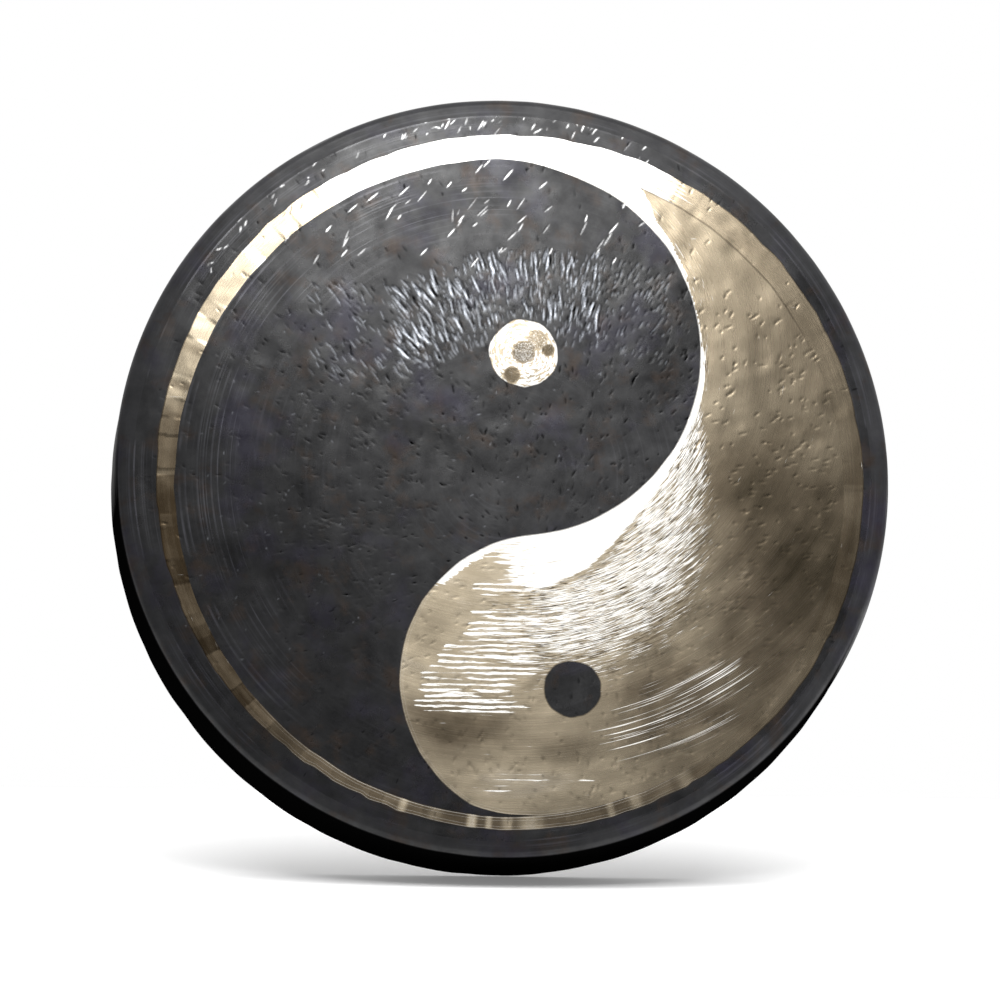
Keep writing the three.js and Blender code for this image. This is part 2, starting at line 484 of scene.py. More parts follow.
def lattice(low: Vector, high: Vector, pitch: float) -> bmesh.types.BMesh:
    """A flat lattice in the face's plane, facing the player.

    Args:
        low: lowest corner of the box that it covers.
        high: highest corner.
        pitch: side of one square.

    Returns:
        The new bmesh.
    """
    centre, reach = (low + high) / 2, (high - low) / 2 + Vector((1, 0, 1)) * 4 * pitch
    bm = bmesh.new()
    turn = Matrix.Translation((centre.x, 0, centre.z)) @ Matrix.Rotation(math.radians(90), 4, "X")
    bmesh.ops.create_grid(
        bm, x_segments=int(2 * reach.x / pitch), y_segments=int(2 * reach.z / pitch), size=1,
        matrix=turn @ Matrix.Diagonal((reach.x, reach.z, 1, 1)),
    )
    return bm


def cut(bm: bmesh.types.BMesh, distance: Field, pitch: float) -> None:
    """Cuts away everything where a signed distance is positive, leaving its zero as a clean edge.

    Args:
        bm: the lattice.
        distance: signed distance of points from the edge.
        pitch: the lattice's pitch.
    """
    bm.verts.index_update()
    bm.verts.ensure_lookup_table()
    co = coordinates(bm)
    away = distance(co)
    step = 0.02 * pitch
    slope = np.zeros_like(co)
    for axis in range(3):
        ahead = co.copy()
        ahead[:, axis] += step
        slope[:, axis] = (distance(ahead) - away) / step
    for i in np.nonzero((np.abs(away) < 0.28 * pitch) & (away != 0))[0]:
        vert = bm.verts[i]
        if not vert.is_boundary:
            vert.co = Vector(co[i] - slope[i] * away[i] / max(0.25, float(slope[i] @ slope[i])))
            away[i] = 0
    on_edge = [bm.verts[i] for i in np.nonzero(away == 0)[0]]
    crossing = []
    for edge in bm.edges:
        a, b = edge.verts
        if away[a.index] * away[b.index] < 0:
            crossing.append((edge, a, away[a.index] / (away[a.index] - away[b.index])))
    for edge, start, share in crossing:
        on_edge.append(bmesh.utils.edge_split(edge, start, share)[1])
    bmesh.ops.connect_verts(bm, verts=on_edge, check_degenerate=True)
    faces = list(bm.faces)
    middle = distance(np.array([f.calc_center_median() for f in faces]).reshape(-1, 3))
    bmesh.ops.delete(bm, geom=[f for f, d in zip(faces, middle) if d > 0], context="FACES")


def drop_loose(bm: bmesh.types.BMesh) -> None:
    """Removes edges and vertices that no face uses."""
    bmesh.ops.delete(bm, geom=[e for e in bm.edges if not e.link_faces], context="EDGES")
    bmesh.ops.delete(bm, geom=[v for v in bm.verts if not v.link_faces], context="VERTS")


def refine(bm: bmesh.types.BMesh, wanted: Field) -> None:
    """Halves the lattice's squares where fine marks lie.

    Args:
        bm: the lattice.
        wanted: says which places need the finer mesh.
    """
    bm.verts.index_update()
    fine = wanted(coordinates(bm))
    edges = [e for e in bm.edges if fine[e.verts[0].index] or fine[e.verts[1].index]]
    bmesh.ops.subdivide_edges(bm, edges=edges, cuts=1, use_grid_fill=True)


def close_back(bm: bmesh.types.BMesh, depth: float) -> None:
    """Turns a skin into a closed plate, with walls from its edges back to a flat plane.

    Args:
        bm: the skin.
        depth: y of the plane.
    """
    rims = [e for e in bm.edges if e.is_boundary]
    for edge in rims:
        edge.smooth = False
    made = bmesh.ops.extrude_edge_only(bm, edges=rims)["geom"]
    for vert in (g for g in made if isinstance(g, bmesh.types.BMVert)):
        vert.co.y = depth
    lines = [g for g in made if isinstance(g, bmesh.types.BMEdge)]
    back = [e for e in lines if all(abs(v.co.y - depth) < 1e-9 for v in e.verts)]
    for edge in back:
        edge.smooth = False
    bmesh.ops.triangle_fill(bm, use_beauty=True, use_dissolve=False, edges=back, normal=(0, 1, 0))
    bmesh.ops.recalc_face_normals(bm, faces=bm.faces[:])


def settle(
    bm: bmesh.types.BMesh, name: str, material: bpy.types.Material, nodes: tuple[str, ...],
    layers: dict[str, Field] | None = None,
) -> bpy.types.Object:
    """Makes a finished piece of a bmesh and puts it on the gong's body.

    Args:
        bm: the piece's shape, freed afterwards.
        name: the piece's name.
        material: its finish.
        nodes: the CAD nodes that it stands for.
        layers: named values that the finish reads, each worked out from the vertices' places.

    Returns:
        The new object.
    """
    bmesh.ops.triangulate(bm, faces=[f for f in bm.faces if len(f.verts) > 4])
    for face in bm.faces:
        face.smooth = True
    mesh = bpy.data.meshes.new(name)
    bm.to_mesh(mesh)
    bm.free()
    co = np.empty(len(mesh.vertices) * 3)
    mesh.vertices.foreach_get("co", co)
    for layer, values in (layers or {}).items():
        mesh.attributes.new(layer, "FLOAT", "POINT").data.foreach_set(
            "value", values(co.reshape(-1, 3)).astype(np.float32)
        )
    mesh.materials.append(material)
    piece = bpy.data.objects.new(name, mesh)
    bpy.context.scene.collection.objects.link(piece)
    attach(piece, "root")
    if nodes:
        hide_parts(*nodes)
    mesh.calc_loop_triangles()
    LOG.info("%s: %d triangles", name, len(mesh.loop_triangles))
    return piece


# ---------------------------------------------------------------- finishes


@dataclass(frozen=True)
class HeatOxidePatina:
    """Bell bronze under the black oxide of its last heating, burnished by the hammer.

    The black skin is thin and satin. It clouds grey where it is thinnest, and keeps faint
    brown, violet and blue stains, turning lines round the axis, and marks where a tool broke
    through to bare metal. These marks are painted pale, and white where they stand for glints:
    painted highlights. Its pits and thick scale go near-black, partly as painted shade.
    """

    name: str
    dark: str = "0f0f10"
    light: str = "1f1f21"
    brown: str = "2e241c"
    violet: str = "25222f"
    bare: str = "ccd1da"
    painted_highlight: str = "ffffff"
    roughness: float = 0.26
    sheen: float = 0.5

    def material(self) -> bpy.types.Material:
        """Builds the material."""
        made, add = new_material(self.name)
        place = add("TexCoord", out="Object")
        mm = add("VectorMath", {0: place, "Scale": 1000.0}, operation="SCALE")
        cloud = add("TexNoise", {"Vector": mm, "Scale": 1 / 95, "Detail": 7.0, "Roughness": 0.62})
        depth = add("MapRange", [cloud, 0.36, 0.66])
        colour = add("Mix", {0: depth, 6: linear(self.dark), 7: linear(self.light)}, out=2, data_type="RGBA")
        tinge = None
        for tint, film, scale, low, shift in (
            (self.brown, (1, 0.82, 0.72, 1), 1 / 26, 0.53, 300.0),
            (self.violet, (0.84, 0.84, 1, 1), 1 / 60, 0.52, 700.0),
        ):
            moved = add("Mapping", {"Vector": mm, "Location": (shift, 0, shift)})
            stain = add("TexNoise", {"Vector": moved, "Scale": scale, "Detail": 5.0, "Roughness": 0.6})
            where = add("MapRange", [stain, low, low + 0.14, 0.0, 0.6])
            colour = add("Mix", {0: where, 6: colour, 7: linear(tint)}, out=2, data_type="RGBA")
            tinge = add("Mix", {0: where, 6: tinge or (1, 1, 1, 1), 7: film}, out=2, data_type="RGBA")
        # Lines that a polishing stick left round the axis, 1 to 3 mm apart, in patches
        flat = add("VectorMath", [mm, (1, 0, 1)], operation="MULTIPLY")
        radius = add("VectorMath", [flat], out="Value", operation="LENGTH")
        spacing = {"W": radius, "Scale": 1 / 3.6, "Detail": 4.0, "Roughness": 0.7}
        rings = add("TexNoise", spacing, noise_dimensions="1D")
        lines = add("MapRange", [rings, 0.5, 0.75])
        patch = add("TexNoise", {"Vector": mm, "Scale": 1 / 60, "Detail": 3.0, "Roughness": 0.6})
        patchy = add("MapRange", [patch, 0.42, 0.66, 0.0, 0.55])
        turned = add("Attribute", out="Fac", attribute_name="turned")
        lathe = add("Math", [lines, patchy], operation="MULTIPLY")
        lathe = add("Math", [lathe, turned], operation="MULTIPLY")
        colour = add("Mix", {0: lathe, 6: colour, 7: linear("5c5c68")}, out=2, data_type="RGBA")
        # Marks that broke through to the metal, painted pale, and pure white where they stand for glints: painted
        # highlights
        grain = add("TexNoise", {"Vector": mm, "Scale": 1 / 0.8, "Detail": 3.0})
        grainy = add("MapRange", [grain, 0.38, 0.6, 0.45])
        metal = None
        for layer, tone, share in (("bare", self.bare, 0.85), ("painted_highlight", self.painted_highlight, 1.3)):
            mark = add("Attribute", out="Fac", attribute_name=layer)
            rubbed = add("Math", [mark, grainy], operation="MULTIPLY")
            shown = add("Math", [rubbed, share], operation="MULTIPLY", use_clamp=True)
            colour = add("Mix", {0: shown, 6: colour, 7: linear(tone)}, out=2, data_type="RGBA")
            metal = add("Math", [shown, 0.6 * share, metal or 0.0], operation="MULTIPLY_ADD", use_clamp=True)
        # Pits and thick scale hold no shine; thin places hold more of it. Both go near-black partly as painted
        # shade: the shaded sides of dents, the rim's dark crescent and the darker lower left of the face
        pit_and_shade = add("Attribute", out="Fac", attribute_name="pit_and_shade")
        scale = add("Attribute", out="Fac", attribute_name="scale")
        dulled_by_scale_and_shade = add("Math", [pit_and_shade, scale], operation="MAXIMUM", use_clamp=True)
        colour = add("Mix", {0: dulled_by_scale_and_shade, 6: colour, 7: linear("030303")}, out=2, data_type="RGBA")
        mottle = add("TexNoise", {"Vector": mm, "Scale": 1 / 18, "Detail": 7.0, "Roughness": 0.62})
        shine = add("MapRange", [mottle, 0.32, 0.68, self.sheen * 0.62, self.sheen * 1.38])
        polish = add("Math", [lathe, self.sheen * 3.4, shine], operation="MULTIPLY_ADD")
        lack = add("Math", [1.0, dulled_by_scale_and_shade], operation="SUBTRACT")
        shine = add("Math", [polish, lack], operation="MULTIPLY")
        gloss = add("MapRange", [cloud, 0.3, 0.7, self.roughness - 0.07, self.roughness + 0.1])
        bump = add("Bump", {"Height": grain, "Strength": 0.25, "Distance": 0.1 * MM})
        connect(made, {
            "Base Color": colour, "Roughness": gloss, "Normal": bump, "Metallic": metal,
            "Specular IOR Level": shine, "Specular Tint": tinge,
        })
        return made


@dataclass(frozen=True)
class ScrapedBronze:
    """Bell bronze scraped through its oxide by hand and brushed, then left to tone down.

    Fresh scraping is pale and bright. It tones to tan and brown where hands and air have
    worked on it, and every stroke of the scraper and brush leaves its own fine line. Its
    near-white places and bright scratch lines are painted highlights, the dark lines along its
    edges painted shade, and its darker and lighter tones are partly painted light.
    """

    name: str
    fresh: str = "f1e4cf"
    tan: str = "cbbca2"
    brown: str = "7c705e"
    olive: str = "4e4638"
    roughness: float = 0.27
    centre: tuple[float, float] = (0.0, 0.0)

    def material(self) -> bpy.types.Material:
        """Builds the material."""
        made, add = new_material(self.name)
        place = add("TexCoord", out="Object")
        mm = add("VectorMath", {0: place, "Scale": 1000.0}, operation="SCALE")
        tarnish_and_painted_light, brush, sparkle, stroke, edge, burr_glint, crease_shade, pit_and_shade = (
            add("Attribute", out="Fac", attribute_name=layer)
            for layer in ("tarnish_and_painted_light", "brush", "sparkle", "stroke", "edge", "burr_glint", "crease_shade", "pit_and_shade")
        )
        # A frame that runs round the stroke's centre: direction in x and z, distance in y
        moved = add("Mapping", {"Vector": mm, "Location": (-self.centre[0] / MM, 0, -self.centre[1] / MM)})
        flat = add("VectorMath", [moved, (1, 0, 1)], operation="MULTIPLY")
        out = add("VectorMath", [flat], out="Value", operation="LENGTH")
        toward = add("VectorMath", [flat], operation="NORMALIZE")
        away = add("CombineXYZ", {1: out})

        def along(reach: float, pitch: float) -> bpy.types.NodeSocket:
            """Coordinates for marks of a given length round the centre and a given spacing."""
            turn = add("VectorMath", {0: toward, "Scale": 150 / reach}, operation="SCALE")
            step = add("VectorMath", {0: away, "Scale": 1 / pitch}, operation="SCALE")
            return add("VectorMath", [turn, step], operation="ADD")

        cloud = add("TexNoise", {"Vector": mm, "Scale": 1 / 34, "Detail": 6.0, "Roughness": 0.6})
        uneven = add("MapRange", [cloud, 0.3, 0.7, -0.08, 0.08])
        tone = add("Math", [tarnish_and_painted_light, uneven], operation="ADD", use_clamp=True)
        brushing = add("TexNoise", {"Vector": along(60, 0.9), "Scale": 1.0, "Detail": 4.0, "Roughness": 0.65})
        brushed = add("MapRange", [brushing, 0.3, 0.7, -0.05, 0.05])
        broad = add("TexNoise", {"Vector": along(70, 8), "Scale": 1.0, "Detail": 4.0, "Roughness": 0.6})
        banded = add("MapRange", [broad, 0.3, 0.7, -0.06, 0.06])
        worn = add("Math", [brushed, banded], operation="ADD")
        # How plainly the brush's lines show: hardly at all where the metal was buffed smooth
        tone = add("Math", [worn, brush, tone], operation="MULTIPLY_ADD", use_clamp=True)
        colour = add("ValToRGB", [tone])
        stops = colour.node.color_ramp.elements
        stops[0].color, stops[1].color = linear(self.fresh), linear(self.olive)
        for at, tint in ((0.3, self.tan), (0.78, self.brown)):
            stops.new(at).color = linear(tint)
        # Level strokes of a wide scraper, 3 to 6 mm apart and slightly wavy
        wavy = add("Mapping", {"Vector": mm, "Rotation": (0, math.radians(3), 0), "Scale": (1 / 46, 0, 1 / 3.1)})
        level = add("TexNoise", {"Vector": wavy, "Scale": 1.0, "Detail": 2.5, "Roughness": 0.6, "Distortion": 0.2})
        swell = {"Vector": mm, "Scale": 0.072, "Distortion": 2.2, "Detail": 2.0, "Detail Scale": 0.7}
        rows = add("TexWave", swell, out="Fac", bands_direction="Z")
        lift = add("MapRange", [rows, 0.0, 1.0, -0.12, 0.09])
        level = add("Math", [level, lift], operation="ADD")
        # Each worked area is a soft mask that the strokes' own noise turns into ragged marks, painted near-white as
        # highlights on the scratches
        white = None
        for layer, noise, cover, low in (
            ("stroke", level, 0.3, 0.49),
            ("painted_highlight", along(34, 1.7), 0.5, 0.26),
            ("sparkle", along(11, 0.6), 0.27, 0.47),
            ("streak", along(60, 0.9), 0.3, 0.57),
        ):
            mask = add("Attribute", out="Fac", attribute_name=layer)
            if noise is not level:
                noise = add("TexNoise", {"Vector": noise, "Scale": 1.0, "Detail": 2.5, "Roughness": 0.62})
            lack = add("Math", [mask, 1.0], operation="SUBTRACT")
            worked = add("Math", [lack, cover, noise], operation="MULTIPLY_ADD")
            shown = add("MapRange", [worked, low, low + 0.045])
            white = shown if white is None else add("Math", [shown, white], operation="MAXIMUM")
        # Dark hairlines between the bright scratches
        hair = add("TexNoise", {"Vector": along(7, 0.8), "Scale": 1.0, "Detail": 1.5})
        lined = add("MapRange", [hair, 0.56, 0.6])
        haired = add("Math", [lined, sparkle], operation="MULTIPLY", use_clamp=True)
        # Hairlines in the level strokes
        fine = add("Mapping", {"Vector": mm, "Scale": (1 / 11, 0, 1 / 0.9)})
        thread = add("TexNoise", {"Vector": fine, "Scale": 1.0, "Detail": 2.0})
        open_work = add("MapRange", [thread, 0.36, 0.42])
        bare = add("Mix", {0: stroke, 2: 1.0, 3: open_work})
        bright = add("Math", [white, bare], operation="MULTIPLY", use_clamp=True)
        # Lines along an edge: a fine burr just inside it, painted as a bright highlight line, and a crease on it,
        # painted as a dark shadow line
        for low, high in ((0.45, 0.8), (2.7, 2.85)):
            inner = add("MapRange", [edge, low, low + 0.25])
            outer = add("MapRange", [edge, high, high + 0.25, 1.0, 0.0])
            line = add("Math", [inner, outer], operation="MULTIPLY")
            line = add("Math", [line, burr_glint], operation="MULTIPLY")
            bright = add("Math", [line, bright], operation="MAXIMUM")
        near = add("MapRange", [edge, 0.45, 1.0, 1.0, 0.0])
        folded = add("Math", [near, crease_shade], operation="MULTIPLY", use_clamp=True)
        # Pits go dark brown, partly as painted shade in the dents
        pitted = add("Math", [pit_and_shade, 0.8], operation="MULTIPLY", use_clamp=True)
        laid = ((haired, "4a3c2a"), (bright, "fffdf8"), (folded, "2e251a"), (pitted, "3a2c1c"))
        for where, tint in laid:
            colour = add("Mix", {0: where, 6: colour, 7: linear(tint)}, out=2, data_type="RGBA")
        metal = add("MapRange", [bright, 0.0, 1.0, 1.0, 0.3])
        gloss = add("MapRange", [brushing, 0.3, 0.7, self.roughness - 0.03, self.roughness + 0.05])
        combed = add("Math", [brushing, brush], operation="MULTIPLY")
        bump = add("Bump", {"Height": combed, "Strength": 0.08, "Distance": 0.06 * MM})
        connect(made, {"Base Color": colour, "Metallic": metal, "Roughness": gloss, "Normal": bump})
        return made


# ---------------------------------------------------------------- the playing face


# How much darker the right of the bright field is, by angle from +x
FIELD_DARKENING = (
    (5, 0.42), (30, 0.36), (60, 0.3), (90, 0.0), (200, 0.0), (260, 0.1), (300, 0.34), (330, 0.52), (345, 0.68)
)
# Its darker and lighter patches: middle x and z, reach, how flat, and how much more it has toned
FIELD_STAINS = (
    (-36, -198, 72, 2.0, 0.52), (-72, -180, 34, 0.9, 0.12), (22, -241, 66, 2.6, -0.3), (78, -236, 40, 1.3, -0.16),
    (-60, -120, 40, 1.3, 0.14), (172, 8, 75, 1.3, 0.3), (116, -176, 64, 1.2, 0.2), (40, -214, 50, 3.0, 0.16),
)
# How far the painted white highlight reaches from the dark head, by angle round it
WHITE_DEPTH = (
    (-114, 4), (-104, 30), (-94, 44), (-84, 44), (-74, 36), (-62, 24), (-50, 12), (-30, 5), (-8, 5), (4, 1), (20, 1),
    (44, 8), (56, 24), (75, 60),
)
# Ends of the level strokes, by height
STROKES_LEFT = ((-186, -66), (-150, -61), (-137, -49), (-130, -40), (-122, -25), (-104, -26))
STROKES_RIGHT = ((-186, 26), (-165, 10), (-150, 30), (-120, 44), (-104, 20))
FINGERS_LEFT = ((-97, -4), (-92, -26), (-86, -30), (-80, -4), (-72, 2), (-64, -20), (-56, -26))
# How dark and brown the ring is, by angle: partly its toning and partly painted light, palest at its top under a
# painted highlight. Then the middle, width and tone of its painted glints, below zero, and of two painted bands of
# shade, above zero
RING_TONE_AND_LIGHT = (
    (0, 0.4), (60, 0.32), (90, 0.05), (125, 0.3), (140, 0.32), (154, 0.3), (163, 0.34), (170, 0.72), (185, 0.85),
    (222, 0.97), (232, 0.85), (265, 0.8), (300, 0.7), (335, 0.6),
)
RING_PAINTED_LIGHT = (
    (158, 1.3, 0.3), (164.5, 1.3, 0.3), (252, 1.0, -0.5), (257.5, 1.8, -0.22), (263.6, 1.2, -0.75),
    (266.4, 0.8, -0.6), (269.5, 1.4, -0.35), (273.2, 2.8, -0.55), (286.7, 0.9, -0.45), (291, 1.6, -0.3),
    (300, 1.9, -0.3),
)
# How plainly the ring's flats show, by angle
FACET_SHARE = (
    (0, 0.12), (60, 0.12), (110, 0.2), (145, 0.35), (200, 0.8), (240, 0.6), (280, 0.3), (330, 0.15)
)


def lower_left_shade(points: np.ndarray) -> np.ndarray:
    """Painted shade: how much darker and duller the face is made, most at the lower left."""
    return 0.4 * smooth(-40 * MM, 220 * MM, -0.75 * points[:, 0] - 0.65 * points[:, 2])


@dataclass
class PlayingFace:
    """The flat sheet: two fields, their eyes, the ring and the band outside it.

    Args:
        relief: the hammered relief that all the zones share.
    """

    relief: Relief
    skin_depth: float = 1 * MM
    sheet: float = 2 * MM
    ring_inner: Circle = Circle(5.4 * MM, -7.5 * MM, 259 * MM)
    dark_head: Circle = Circle(7.4 * MM, 99.6 * MM, 146 * MM)
    bright_head: Circle = Circle(34.7 * MM, -159.5 * MM, 114.5 * MM)
    field_pitch: float = 1.6 * MM
    ring_pitch: float = 1.1 * MM
    band_pitch: float = 1.7 * MM
    back_pitch: float = 2.6 * MM

    def __post_init__(self) -> None:
        """Lays out the edges that the zones share."""
        self.flat = Circle.around("outer_band")
        self.outer_edge = ScrapedEdge(Circle.around("scraped_ring"), 10 * MM, 0.5 * MM, 21)
        self.inner_edge = ScrapedEdge(self.ring_inner, 16 * MM, 0.35 * MM, 22)
        self.wave = Wave(self.ring_inner, self.dark_head, self.bright_head)
        self.bright_eye = ScrapedEdge(Circle.around("bright_eye"), 7 * MM, 0.35 * MM, 23)
        self.dark_eye = ScrapedEdge(Circle.around("dark_eye"), 6 * MM, 0.3 * MM, 24)

    def facets(self, points: np.ndarray) -> tuple[np.ndarray, np.ndarray]:
        """The flats that the scraper left along the ring.

        Args:
            points: places on the face.

        Returns:
            Height of the flats, and a random tone from 0 to 1 for each.
        """
        radius, angle = self.outer_edge.circle.polar(points)
        rng = np.random.default_rng(31)
        ends = np.cumsum(rng.uniform(9, 34, 110)) * MM / self.outer_edge.circle.r - math.pi
        ends = np.concatenate([[-math.pi], ends[ends < math.pi], [math.pi + 0.01]])
        index = np.clip(np.searchsorted(ends, angle, side="right") - 1, 0, len(ends) - 2)
        middle = (ends[:-1] + ends[1:]) / 2
        count = len(middle)
        tilt_along, tilt_across = rng.normal(0, 0.012, count), rng.normal(0, 0.02, count)
        tone = rng.uniform(0, 1, count)
        along = (angle - middle[index]) * radius
        across = radius - self.outer_edge.circle.r + 7 * MM
        return along * tilt_along[index] + across * tilt_across[index], tone[index]

    def zone(
        self, node: str, pitch: float, level: float, edges: list[Field], material: bpy.types.Material,
        layers: dict[str, Field], extra: Field | None = None,
    ) -> bpy.types.Object:
        """Builds one zone's skin in place of its CAD node.

        Args:
            node: the CAD node.
            pitch: the lattice's pitch.
            level: y of the skin before its relief.
            edges: signed distances, negative inside the zone.
            material: the zone's finish.
            layers: values that the finish reads.
            extra: relief of the zone's own, added to the sheet's.

        Returns:
            The new piece.
        """
        low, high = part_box(node)
        bm = lattice(low, high, pitch)
        inside = np.max([edge(coordinates(bm)) for edge in edges], axis=0)
        verts = list(bm.verts)
        bmesh.ops.delete(bm, geom=[v for v, d in zip(verts, inside) if d > 3 * pitch], context="VERTS")
        for edge in edges:
            cut(bm, edge, pitch)
        drop_loose(bm)
        refine(bm, lambda p: self.relief.sample(self.relief.detail, p) > 0.2)
        co = coordinates(bm)
        height = self.relief.sample(self.relief.height, co)
        if extra is not None:
            height = height + extra(co)
        for vert, rise in zip(bm.verts, height):
            vert.co.y = level + min(rise, 0.75 * self.skin_depth - level)
        close_back(bm, self.skin_depth)
        return settle(bm, node + "_skin", material, (node,), layers)

    def marks(self, *names: str) -> dict[str, Field]:
        """Relief layers that a finish reads, by name."""
        return {n: (lambda p, n=n: np.clip(self.relief.sample(getattr(self.relief, n), p), 0, 1.5)) for n in names}

    def field_tone(self, points: np.ndarray) -> np.ndarray:
        """How dark and brown the bright field is: least at the top, most at the lower right."""
        radius, angle = self.flat.polar(points)
        turn = np.degrees(angle) % 360
        right = follow(turn, FIELD_DARKENING, period=360)
        tone = 0.26 + right * smooth(90 * MM, 240 * MM, radius)
        for x, z, reach, flat, more in FIELD_STAINS:
            away = np.hypot(points[:, 0] - x * MM, (points[:, 2] - z * MM) * flat)
            tone = tone + more * smooth(1, 0, away / (reach * MM))
        return tone

    def sparkle(self, points: np.ndarray) -> np.ndarray:
        """The band of short scratches beside the dark head, on its right and below, painted near-white as glints."""
        radius, angle = self.dark_head.polar(points)
        out, turn = radius - self.dark_head.r, np.degrees(angle)
        reach = (9 + 100 * smooth(-12, -58, turn)) * MM
        start = 42 * MM * smooth(-38, -75, turn)
        band = smooth(1.0, 0.35, (out - start) / reach) * smooth(-14 * MM, 4 * MM, out - start)
        faint = 0.45 * smooth(60, 45, turn) * smooth(5, 20, turn) * smooth(30 * MM, 3 * MM, out)
        return np.maximum(band * smooth(16, -4, turn) * smooth(-106, -78, turn), faint)

    def field_painted_highlight(self, points: np.ndarray) -> np.ndarray:
        """Where the bright field is painted almost white as a highlight: below the dark head and along its edge."""
        radius, angle = self.dark_head.polar(points)
        out, turn = radius - self.dark_head.r, np.degrees(angle)
        depth = follow(turn, WHITE_DEPTH) * MM
        x, z = points[:, 0], points[:, 2]
        body = smooth(1.12, 0.88, out / depth) * smooth(-116, -110, turn)
        body = body * smooth(-26 * MM, 22 * MM, x + 0.4 * (z + 60 * MM))
        lip = smooth(9 * MM, 4 * MM, self.wave.distance(points))
        lip = lip * smooth(-60, -100, turn) * smooth(-90 * MM, -80 * MM, z)
        return np.clip(np.maximum(body, lip), 0, 1)

    def strokes(self, points: np.ndarray) -> np.ndarray:
        """Where the bright head shows level scraper strokes, dense on its left and faint at its foot, painted
        near-white as highlights.
        """
        x, z = points[:, 0], points[:, 2]
        rng = np.random.default_rng(61)
        rows = np.arange(-190, -90, 3.2) * MM
        left = np.interp(z, rows, rng.normal(0, 4, len(rows)) * MM) + follow(z / MM, STROKES_LEFT) * MM
        right = np.interp(z, rows, rng.normal(0, 6, len(rows)) * MM) + follow(z / MM, STROKES_RIGHT) * MM
        cluster = smooth(-2 * MM, 2 * MM, x - left) * smooth(8 * MM, -14 * MM, x - right)
        cluster = cluster * smooth(-187 * MM, -184 * MM, z) * smooth(-101 * MM, -108 * MM, z)
        foot = 0.38 * smooth(1.1, 0.3, np.hypot((x - 26 * MM) / (62 * MM), (z + 240 * MM) / (19 * MM)))
        wide = follow(z / MM, FINGERS_LEFT) * MM
        fingers = 0.95 * smooth(-4 * MM, 8 * MM, x - wide) * smooth(30 * MM, 20 * MM, x)
        fingers = fingers * smooth(-97 * MM, -93 * MM, z) * smooth(-48 * MM, -54 * MM, z)
        return np.maximum(np.maximum(cluster, foot), fingers)

    def streaks(self, points: np.ndarray) -> np.ndarray:
        """Where long strokes run round the foot of the bright field, painted near-white as highlights."""
        radius, angle = self.dark_head.polar(points)
        out, turn = radius - self.dark_head.r, np.degrees(angle)
        main = smooth(1.1, 0.5, np.hypot((out - 165 * MM) / (42 * MM), (turn + 65) / 17))
        upper = 0.6 * smooth(1.1, 0.3, np.hypot((out - 110 * MM) / (50 * MM), (turn + 52) / 24))
        return np.maximum(main, upper)

    def ring_tone_and_light(self, points: np.ndarray) -> np.ndarray:
        """How dark and brown the ring is: partly toning and partly painted light, near-white at the top and brown
        and olive down the left, with painted glints and bands of shade.
        """
        angle = np.degrees(self.outer_edge.circle.polar(points)[1]) % 360
        tone = follow(angle, RING_TONE_AND_LIGHT, period=360)
        right = smooth(75, 55, angle) + smooth(300, 330, angle)
        tone = tone * (1 - right) + self.field_tone(points) * right
        tone = tone - 0.1 * right * smooth(270, 330, angle)
        for turn, wide, more in RING_PAINTED_LIGHT:
            tone = tone + more * smooth(wide, 0.15 * wide, np.abs(angle - turn))
        return np.clip(tone + (self.facets(points)[1] - 0.5) * 0.3 * self.facet_share(angle), 0, 1)

    @staticmethod
    def facet_share(angle: np.ndarray) -> np.ndarray:
        """How plainly the ring's flats show: most on the left, hardly at all on the right."""
        return follow(angle % 360, FACET_SHARE, period=360)

    def ring_painted_highlight(self, points: np.ndarray) -> np.ndarray:
        """Where the ring is painted almost white as a highlight: round its top, and a glint on its upper left."""
        angle = np.degrees(self.outer_edge.circle.polar(points)[1]) % 360
        patch = 0.8 * smooth(1.6, 0.6, np.abs(angle - 138.8))
        return np.maximum(smooth(52, 70, angle) * smooth(125, 121, angle), patch)

    def ring_lines(self) -> dict[str, Field]:
        """The lines along the ring's edges: distance to the nearer edge in mm, a burr painted as a highlight line
        and a crease painted as a shadow line.
        """

        def turn(points: np.ndarray) -> np.ndarray:
            """Angle round the ring in degrees."""
            return np.degrees(self.outer_edge.circle.polar(points)[1]) % 360

        return {
            "edge": lambda p: np.minimum(-self.outer_edge.distance(p), self.inner_edge.distance(p)) / MM,
            "burr_glint": lambda p: 0.5 * smooth(215, 245, turn(p)) * smooth(310, 285, turn(p)),
            "crease_shade": lambda p: np.where(
                -self.outer_edge.distance(p) < self.inner_edge.distance(p),
                0.7 * smooth(140, 160, turn(p)) + 0.6 * smooth(66, 50, turn(p)),
                0.5 * smooth(22, 38, turn(p)) * smooth(72, 62, turn(p)),
            ),
            "brush": lambda p: 0.35 + 0.65 * smooth(60, 120, turn(p)),
        }

    def field_lines(self) -> dict[str, Field]:
        """The lines along the bright field's edges: distance in mm, a burr painted as a highlight line and a crease
        painted as a shadow line.
        """

        def left(points: np.ndarray) -> np.ndarray:
            """How near points are to the bright head's left edge."""
            return smooth(-78 * MM, -95 * MM, points[:, 2]) * (self.wave.distance(points) < 8 * MM)

        def up(points: np.ndarray) -> np.ndarray:
            """Angle round the field in degrees, from -180 to 180."""
            return np.degrees(self.ring_inner.polar(points)[1])

